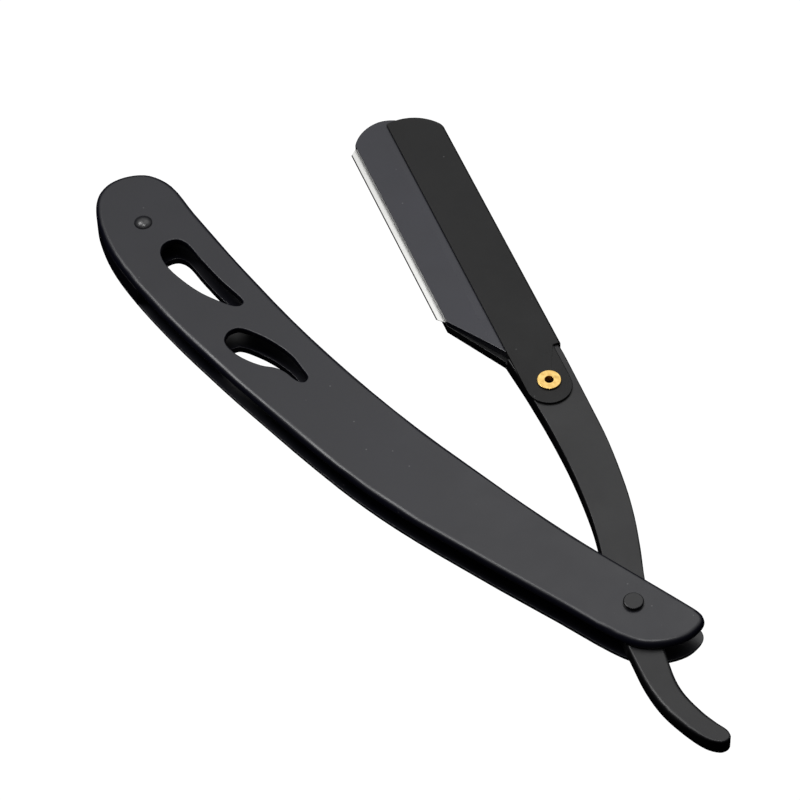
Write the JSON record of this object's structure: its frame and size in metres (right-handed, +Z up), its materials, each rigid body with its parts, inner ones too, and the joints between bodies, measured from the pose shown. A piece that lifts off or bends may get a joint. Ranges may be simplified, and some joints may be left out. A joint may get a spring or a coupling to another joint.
{
  "type": "folding barber razor",
  "caption": "Folding barber razor: black curved scales on a pivot rivet, jaws gripping a half blade, and a swing-off folded cover that locks the jaws.",
  "frame": {"origin": "on the pivot axis, in the plane of the rear rivet heads that the razor lies on", "axes": "+Z up along the pivot axis, butt end of the handle towards -X, cutting edge side of the handle's belly towards -Y"},
  "size_m": [0.1448, 0.0625, 0.0072],
  "materials": {
    "scales": "satin black coat",
    "spacer": "satin black coat",
    "rivets": "satin black coat",
    "washers": "plain",
    "tang": "satin black coat",
    "jaw": "satin black coat",
    "blade": "ground edge",
    "pins": "plain",
    "eyelet": "polished",
    "cover": "satin black coat"
  },
  "bodies": {
    "handle": {"front_scale": "scales", "rear_scale": "scales", "butt_spacer": "spacer", "butt_rivet": "rivets", "pivot_rivet": "rivets", "front_pivot_washer": "washers", "rear_pivot_washer": "washers"},
    "blade_arm": {"tang": "tang", "front_jaw": "jaw", "half_blade": "blade", "blade_pins": "pins", "jaw_stud": "pins", "eyelet": "eyelet", "eyelet_washer": "eyelet"},
    "cover": {"lock_cover": "cover"}
  },
  "joints": [
    {"name": "arm_hinge", "type": "hinge", "parent": "handle", "child": "blade_arm", "pos_m": [0, 0, 0.0036], "axis": [0, 0, -1], "range_deg": [-19.5, 246.5]},
    {"name": "cover_swing", "type": "hinge", "parent": "blade_arm", "child": "cover", "pos_m": [-0.0393, 0.02259, 0.0036], "axis": [0, 0, -1], "range_deg": [0, 100]}
  ]
}
